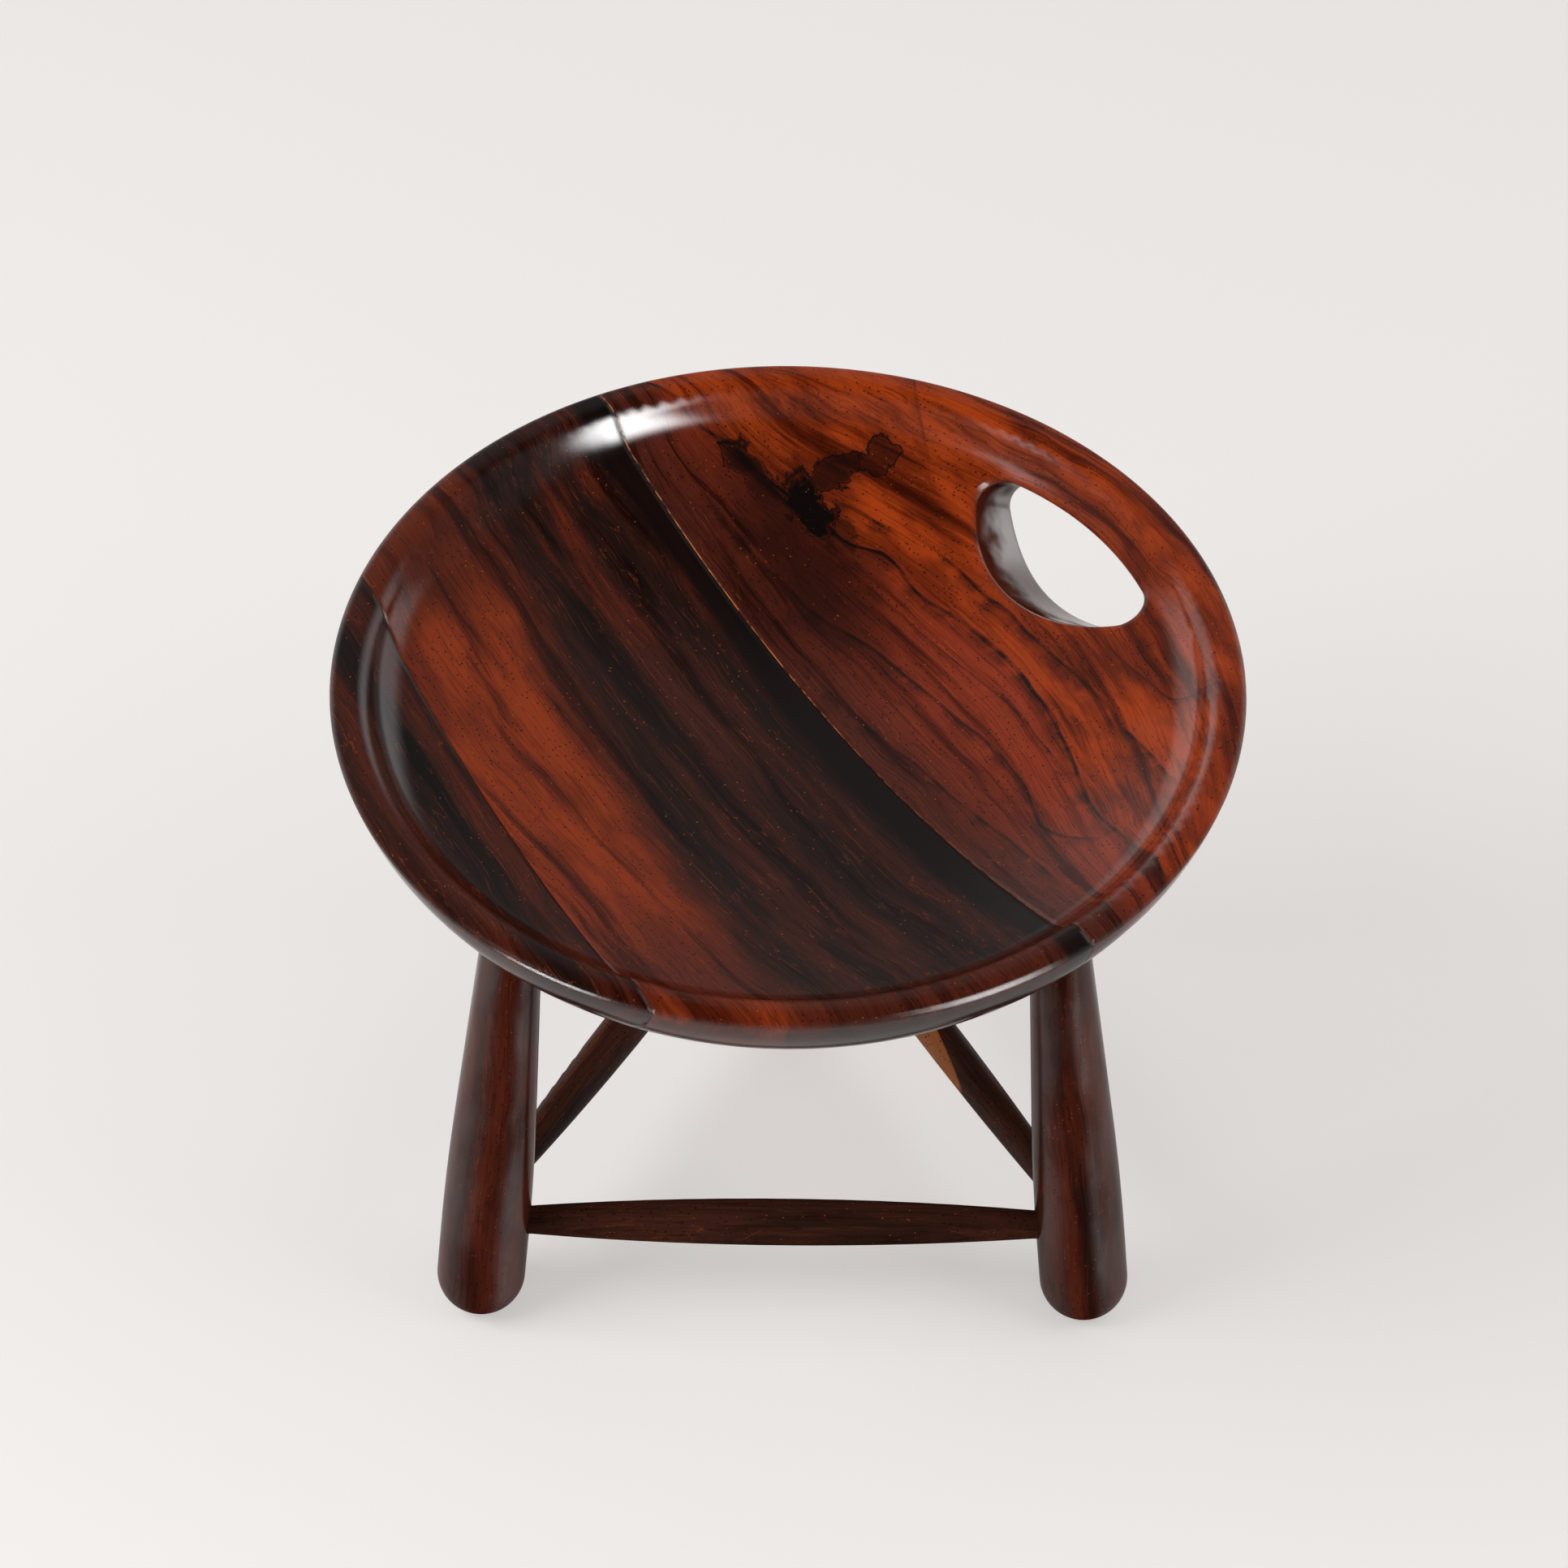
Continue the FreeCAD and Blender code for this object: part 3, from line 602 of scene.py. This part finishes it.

# The orange field has painted shade of dark red towards its front end, in the dish only, and is browner
# at its back end
FRONT_SHADE_FADE = (30, 130)
FRONT_SHADE_SHARE = 0.75
BACK_BROWN_FADE = (-116, -150)
BACK_BROWN_SHARE = 0.8
MIDDLE_ORANGE = srgb(130, 48, 17)
MIDDLE_BROWN = srgb(100, 35, 14)
FRONT_SHADE_RED = srgb(74, 29, 19)
BACK_BROWN = srgb(74, 26, 10)

# The dark field has red streaks, brighter at its back end, and is red on the front of the rim
DARK_STREAK_FADE = (0.36, 0.7)
BRIGHT_STREAK_FADE = (0.52, 0.68)
BRIGHT_END_FADE = (-70, -125)
RED_RIM_FADE = (90, 140)
RED_RIM_SHARE = 0.6
DARK_FIELD = srgb(28, 16, 13)
RED_FIELD = srgb(58, 25, 18)
BRIGHT_STREAK = srgb(82, 31, 17)


def orange_field(wood, grain, height):
    """Colour of the middle board away from the seam."""
    along, _, _ = grain
    patches = wood.fade(wood.noise(grain, PATCHES, MIDDLE_SEEDS["patches"], TORN), PATCH_FADE)
    colour = wood.blend(patches, MIDDLE_BROWN, MIDDLE_ORANGE)
    # Painted shade: dark red towards the front end of the orange field, in the dish only
    front = wood.times(wood.fade(along, FRONT_SHADE_FADE), wood.fade(height, DISH_FADE), FRONT_SHADE_SHARE)
    colour = wood.blend(front, colour, FRONT_SHADE_RED)
    back = wood.times(wood.fade(along, BACK_BROWN_FADE), BACK_BROWN_SHARE)
    return wood.blend(back, colour, BACK_BROWN)


def dark_field(wood, grain, height):
    """Colour of the middle board nearer to the seam."""
    along, _, _ = grain
    streaks = wood.noise(grain, STREAKS, MIDDLE_SEEDS["streaks"], LIVELY)
    colour = wood.blend(wood.fade(streaks, DARK_STREAK_FADE), DARK_FIELD, RED_FIELD)
    bright = wood.times(wood.fade(along, BRIGHT_END_FADE), wood.fade(streaks, BRIGHT_STREAK_FADE))
    colour = wood.blend(bright, colour, BRIGHT_STREAK)
    front_rim = wood.times(wood.fade(along, RED_RIM_FADE), wood.fade(height, RIM_FADE), RED_RIM_SHARE)
    return wood.blend(front_rim, colour, BRIGHT_STREAK)


def middle_board():
    wood = Wood("rosewood_middle_board")
    seeds = MIDDLE_SEEDS
    straight = seat_grain(wood, MAIN_SEAM_ANGLE)
    grain = swayed_twice(wood, straight, seeds, MIDDLE_SWAYS)
    along, across, _ = grain
    _, from_axis, height = straight
    orange = orange_field(wood, grain, height)
    dark = dark_field(wood, grain, height)
    level = wood.sloped(along, DARK_FIELD_SLANT, across)
    level = wood.plus(level, wood.swing(grain, DARK_FIELD_TEETH, seeds["teeth"], DARK_FIELD_SWING, LIVELY))
    colour = wood.blend(wood.fade(level, DARK_FIELD_FADE), orange, dark)
    colour = add_bands(wood, grain, colour, seeds["bands"], MIDDLE_BAND_SHARE)
    colour = add_lines(wood, grain, colour, seeds["lines"], MIDDLE_LINE_SHARE)
    colour = add_pores(wood, grain, colour, seeds["pores"])
    band = wood.plus(from_axis, wood.swing(grain, SLOW_SWAY, seeds["black_band"], BLACK_BAND_SWING))
    black = wood.times(wood.fade(band, BLACK_BAND_FADE), BLACK_BAND_SHARE)
    colour = wood.blend(black, colour, BLACK)
    lacquer(wood, grain, colour, seeds["lacquer"])
    return wood.material


# Left board: dark red with a black band
LEFT_SEEDS = {"slow_sway": 8, "quick_sway": 10, "streaks": 4, "bands": 14, "lines": 15, "pores": 47,
              "lacquer": 3}
LEFT_SWAYS = (8.0, 1.4)
LEFT_BAND_SHARE = 0.8
LEFT_LINE_SHARE = 0.6
LEFT_BLACK_MIDDLE = -162
LEFT_BLACK_FADE = (12, 3)
LEFT_BLACK_SHARE = 0.85
LEFT_DARK = srgb(36, 17, 12)
LEFT_RED = srgb(68, 24, 12)


def left_board():
    wood = Wood("rosewood_left_board")
    seeds = LEFT_SEEDS
    straight = seat_grain(wood, LEFT_SEAM_ANGLE, -1)
    grain = swayed_twice(wood, straight, seeds, LEFT_SWAYS)
    _, across, _ = grain
    streaks = wood.fade(wood.noise(grain, STREAKS, seeds["streaks"], STREAKY), STREAK_FADE)
    colour = wood.blend(streaks, LEFT_DARK, LEFT_RED)
    black = wood.fade(wood.gap(across, LEFT_BLACK_MIDDLE), LEFT_BLACK_FADE)
    colour = wood.blend(wood.times(black, LEFT_BLACK_SHARE), colour, BLACK)
    colour = add_bands(wood, grain, colour, seeds["bands"], LEFT_BAND_SHARE)
    colour = add_lines(wood, grain, colour, seeds["lines"], LEFT_LINE_SHARE)
    colour = add_pores(wood, grain, colour, seeds["pores"])
    lacquer(wood, grain, colour, seeds["lacquer"])
    return wood.material


# Legs and stretchers, with steps from each piece's own seed to the seeds of its features
LEG_SEED = 60
STRETCHER_SEED = 130
PIECE_SEED_STEP = 20
TURNED_SEED_STEPS = {"lacquer": 0, "streaks": 0, "sway": 1, "ebony": 3, "lines": 7, "pores": 11, "worn": 30}
TURNED_SWAY = 5
TURNED_STREAKS = (130, 13, 13)
TURNED_LINE_SHARE = 0.45
EBONY_BANDS = (160, 10, 16)
EBONY_FADE = (0.52, 0.7)
EBONY_SHARE = 0.7

# Their gloss follows which way they face, a painted reflection: whole on their left and right sides, and
# less towards the front and back, in patches
TURNED_BENDING = 1.85
LEG_GLOSS_SHARE = 1.0
STRETCHER_GLOSS_SHARE = 0.35
SIDE_GLOSS_FADE = (0.05, 1.0)
WORN_PATCHES = (38, 15, 15)
WORN_SWING = 0.45

LEG_RED = srgb(80, 34, 22)
LEG_BROWN = srgb(50, 21, 14)
STRETCHER_RED = srgb(64, 35, 26)
STRETCHER_BROWN = srgb(41, 24, 18)

# Wedge of pale outer wood on one stretcher: its tip along the grain and from the seat's axis, the slope of
# its edge, and how soft the edge is
SAPWOOD_PIECE = "stretcher_right"
SAPWOOD_TIP = (-50, 68.3)
SAPWOOD_SLOPE = 0.17
SAPWOOD_EDGE_FADE = (-0.4, 0.4)
SAPWOOD_SHARE = 0.95
SAPWOOD_TAN = srgb(146, 86, 46)


def sapwood_share(wood, straight):
    """How pale the wood is: on the inner side of a slanting line, which starts at the wedge's tip."""
    along, across, _ = straight
    tip_along, tip_across = SAPWOOD_TIP
    edge = wood.sloped(wood.minus(along, tip_along), SAPWOOD_SLOPE, tip_across)
    return wood.times(wood.fade(wood.minus(edge, across), SAPWOOD_EDGE_FADE), SAPWOOD_SHARE)


def side_gloss(wood, grain, seed):
    """Share of the gloss on a leg or stretcher, painted by which way it faces, in patches."""
    sideways = wood.maths("ABSOLUTE", wood.facing(RIGHT))
    worn = wood.swing(grain, WORN_PATCHES, seed, WORN_SWING, LIVELY)
    return wood.fade(wood.plus(sideways, worn), SIDE_GLOSS_FADE)


def turned_wood(node, along, seed, dark, light, gloss):
    """Wood of a leg or stretcher, with streaks along its axis."""
    wood = Wood(f"rosewood_{node}")
    seeds = {feature: seed + step for feature, step in TURNED_SEED_STEPS.items()}
    aside = FRONT if node in LEG_ANGLES else UP
    across = along.cross(aside).normalized()
    straight = wood.grain(along, across)
    grain = wood.swayed(straight, SLOW_SWAY, seeds["sway"], TURNED_SWAY)
    streaks = wood.fade(wood.noise(grain, TURNED_STREAKS, seeds["streaks"], STREAKY), STREAK_FADE)
    colour = wood.blend(streaks, dark, light)
    ebony = wood.fade(wood.noise(grain, EBONY_BANDS, seeds["ebony"]), EBONY_FADE)
    colour = wood.blend(wood.times(ebony, EBONY_SHARE), colour, EBONY)
    colour = add_lines(wood, grain, colour, seeds["lines"], TURNED_LINE_SHARE)
    if node == SAPWOOD_PIECE:
        colour = wood.blend(sapwood_share(wood, straight), colour, SAPWOOD_TAN)
    colour = add_pores(wood, grain, colour, seeds["pores"])
    # Painted reflection: the gloss is set by which way the surface faces
    weight = wood.times(side_gloss(wood, grain, seeds["worn"]), gloss)
    lacquer(wood, grain, colour, seeds["lacquer"], weight, TURNED_BENDING)
    return wood.material


def dress(node, material):
    """Give a piece its finished wood."""
    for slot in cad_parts[node].material_slots:
        slot.material = material


def dress_legs():
    splay = math.radians(LEG_SPLAY)
    for number, (leg, angle) in enumerate(LEG_ANGLES.items()):
        axis = UP * math.cos(splay) - outward(angle) * math.sin(splay)
        seed = LEG_SEED + PIECE_SEED_STEP * number
        dress(leg, turned_wood(leg, axis, seed, LEG_BROWN, LEG_RED, LEG_GLOSS_SHARE))


def dress_stretchers():
    for number, (stretcher, angle) in enumerate(STRETCHER_ANGLES.items()):
        seed = STRETCHER_SEED + PIECE_SEED_STEP * number
        dress(stretcher, turned_wood(stretcher, outward(angle), seed, STRETCHER_BROWN, STRETCHER_RED,
                                     STRETCHER_GLOSS_SHARE))


# Studio floor, in metres. The camera sees its shadows lightened by a glow, and reflections see it with
# painted shade, dimmer near the stool and in front of it.
FLOOR_SIZE = 14
FLOOR_ROUGHNESS = 0.35
FLOOR_SHINE = 0.2
FLOOR_PALE = srgb(240, 237, 234)
FLOOR_REFLECTED_SHADE = srgb(172, 170, 168)
FLOOR_GLOW = srgb(236, 232, 230)
FLOOR_GLOW_SHARE = 0.5
FLOOR_NEAR_FADE = (1.1, 0.45)
FLOOR_FRONT_FADE = (-0.2, 0)


def pale_floor():
    bpy.ops.mesh.primitive_plane_add(size=FLOOR_SIZE)
    floor = bpy.context.object
    floor.name = "studio_floor"
    paint = bpy.data.materials.new("studio_floor_paint")
    paint.use_nodes = True
    nodes = Nodes(paint.node_tree)
    surface = paint.node_tree.nodes["Principled BSDF"]
    place = nodes.add("TexCoord").outputs["Object"]
    away = nodes.maths("SQRT", nodes.vector("DOT_PRODUCT", place, place))
    near = nodes.fade(away, FLOOR_NEAR_FADE)
    before = nodes.fade(nodes.vector("DOT_PRODUCT", place, FRONT), FLOOR_FRONT_FADE)
    # Painted shade, for reflections only: the floor is darker near the stool and in front of it
    dim = nodes.times(nodes.add("LightPath").outputs["Is Glossy Ray"], near, before)
    nodes.put(surface.inputs["Base Color"], nodes.blend(dim, FLOOR_PALE, FLOOR_REFLECTED_SHADE))
    surface.inputs["Roughness"].default_value = FLOOR_ROUGHNESS
    surface.inputs["Specular IOR Level"].default_value = FLOOR_SHINE
    glow = nodes.add("Emission")
    glow.inputs["Color"].default_value = FLOOR_GLOW
    both = nodes.add("MixShader")
    seen = nodes.times(nodes.add("LightPath").outputs["Is Camera Ray"], FLOOR_GLOW_SHARE)
    nodes.put(both.inputs[0], seen)
    nodes.put(both.inputs[1], surface.outputs[0])
    nodes.put(both.inputs[2], glow.outputs[0])
    nodes.put(paint.node_tree.nodes["Material Output"].inputs["Surface"], both.outputs[0])
    floor.data.materials.append(paint)


# Soft boxes for plain light alone and for reflections alone: direction from the seat, distance, width and
# length in metres, and watts
PLAIN_LIGHTS = {
    "left_light": ((-0.75, -0.2, 0.63), 2.2, 1.4, 1.4, 38),
    "right_light": ((0.75, -0.2, 0.63), 2.2, 1.4, 1.4, 17),
}
GLOSS_LIGHTS = {
    "key_reflection": ((0.617, -0.619, 0.484), 1.7, 0.9, 2.2, 180),
    "edge_reflection": ((-0.74, -0.67, -0.07), 2.0, 1.0, 0.36, 110),
    "sheen_reflection": ((-0.61, -0.18, 0.77), 1.7, 0.6, 0.6, 2.5),
}

# Places on a soft box run from 0 to 1 each way
BOX_MIDDLE = 0.5
BOX_EDGE_FADE = (0.5, 0.1)


def area_light(name, direction, distance, width, length, power, for_gloss):
    """A soft box that faces the seat."""
    data = bpy.data.lights.new(name, "AREA")
    data.shape = "RECTANGLE"
    data.size = width
    data.size_y = length
    data.energy = power
    lamp = bpy.data.objects.new(name, data)
    bpy.context.collection.objects.link(lamp)
    aim = Vector((0, 0, cad_box[1][2]))
    towards = Vector(direction).normalized()
    lamp.location = aim + towards * distance
    lamp.rotation_euler = towards.to_track_quat("Z", "Y").to_euler()
    lamp.visible_camera = False
    lamp.visible_glossy = for_gloss
    lamp.visible_diffuse = not for_gloss
    return data


def soften(data):
    """Let a soft box fade out towards its edges."""
    data.use_nodes = True
    nodes = Nodes(data.node_tree)
    split = nodes.add("SeparateXYZ")
    nodes.put(split.inputs[0], nodes.add("NewGeometry").outputs["Parametric"])
    level = 1.0
    for side in split.outputs[:2]:
        level = nodes.times(nodes.fade(nodes.gap(side, BOX_MIDDLE), BOX_EDGE_FADE), level)
    nodes.put(data.node_tree.nodes["Emission"].inputs["Strength"], level)


def studio_lights():
    for name, setting in PLAIN_LIGHTS.items():
        area_light(name, *setting, for_gloss=False)
    for name, setting in GLOSS_LIGHTS.items():
        soften(area_light(name, *setting, for_gloss=True))


# What reflections see in the air: a dim ceiling, dark overhead, and a bright backdrop to the left and right
# of the middle. Their fades are between parts of a unit direction.
AIR_PALE = srgb(232, 230, 229)
AIR_STRENGTH = 0.62
CEILING_LEVEL = 0.32
CEILING_UP_FADE = (0.95, 0.75)
BACKDROP_LEVEL = 2.3
BACKDROP_UP_FADE = (0.62, 0.4)
BACKDROP_BEHIND_FADE = (0.28, 0.45)
BACKDROP_LEFT_FADE = (-0.12, -0.52)
BACKDROP_RIGHT_FADE = (0.38, 0.58)


def studio_air():
    """Even pale light, which reflections see as the ceiling and backdrop."""
    world = bpy.data.worlds.new("studio_air")
    bpy.context.scene.world = world
    world.use_nodes = True
    nodes = Nodes(world.node_tree)
    background = world.node_tree.nodes["Background"]
    split = nodes.add("SeparateXYZ")
    nodes.put(split.inputs[0], nodes.add("TexCoord").outputs["Generated"])
    sideways, backwards, upwards = split.outputs
    ceiling = nodes.times(nodes.fade(upwards, CEILING_UP_FADE), CEILING_LEVEL)
    left = nodes.fade(sideways, BACKDROP_LEFT_FADE)
    right = nodes.fade(sideways, BACKDROP_RIGHT_FADE)
    behind = nodes.fade(backwards, BACKDROP_BEHIND_FADE)
    placed = nodes.times(behind, nodes.fade(upwards, BACKDROP_UP_FADE))
    backdrop = nodes.times(nodes.plus(left, right), placed, BACKDROP_LEVEL)
    seen = nodes.vector("SCALE", AIR_PALE[:3], nodes.plus(ceiling, backdrop))
    glossy = nodes.add("LightPath").outputs["Is Glossy Ray"]
    nodes.put(background.inputs["Color"], nodes.blend(glossy, AIR_PALE, seen))
    background.inputs["Strength"].default_value = AIR_STRENGTH


# Camera that took the photo: place in metres, angles in degrees, lens in pixels and millimetres
CAMERA_PLACE = Vector((-0.00062, -2.2127, 2.62594))
CAMERA_PITCH = 46.88
CAMERA_ROLL = 0.54
CAMERA_YAW = -0.02
SENSOR_WIDTH = 36
FOCAL_PIXELS = 9000
IMAGE_PIXELS = 1932
CAMERA_SIGHT = 30


def photo_camera():
    """The camera that took the photo, with its fitted place, tilt and lens."""
    pitch, roll, yaw = (math.radians(angle) for angle in (CAMERA_PITCH, CAMERA_ROLL, CAMERA_YAW))
    forward = Vector((math.sin(yaw) * math.cos(pitch), math.cos(yaw) * math.cos(pitch), -math.sin(pitch)))
    level = Vector((math.cos(yaw), -math.sin(yaw), 0))
    upright = level.cross(forward)
    right = level * math.cos(roll) + upright * math.sin(roll)
    top = upright * math.cos(roll) - level * math.sin(roll)
    data = bpy.data.cameras.new("photo_camera")
    data.sensor_width = SENSOR_WIDTH
    data.lens = SENSOR_WIDTH * FOCAL_PIXELS / IMAGE_PIXELS
    data.clip_end = CAMERA_SIGHT
    camera = bpy.data.objects.new("photo_camera", data)
    bpy.context.collection.objects.link(camera)
    turn = Matrix((right, top, -forward)).transposed()
    camera.matrix_world = Matrix.Translation(CAMERA_PLACE) @ turn.to_4x4()
    bpy.context.scene.camera = camera


dress("seat_board_right", right_board())
dress("seat_board_middle", middle_board())
dress("seat_board_left", left_board())
dress_legs()
dress_stretchers()
pale_floor()
studio_lights()
studio_air()
photo_camera()
bpy.context.scene.view_settings.view_transform = "Standard"
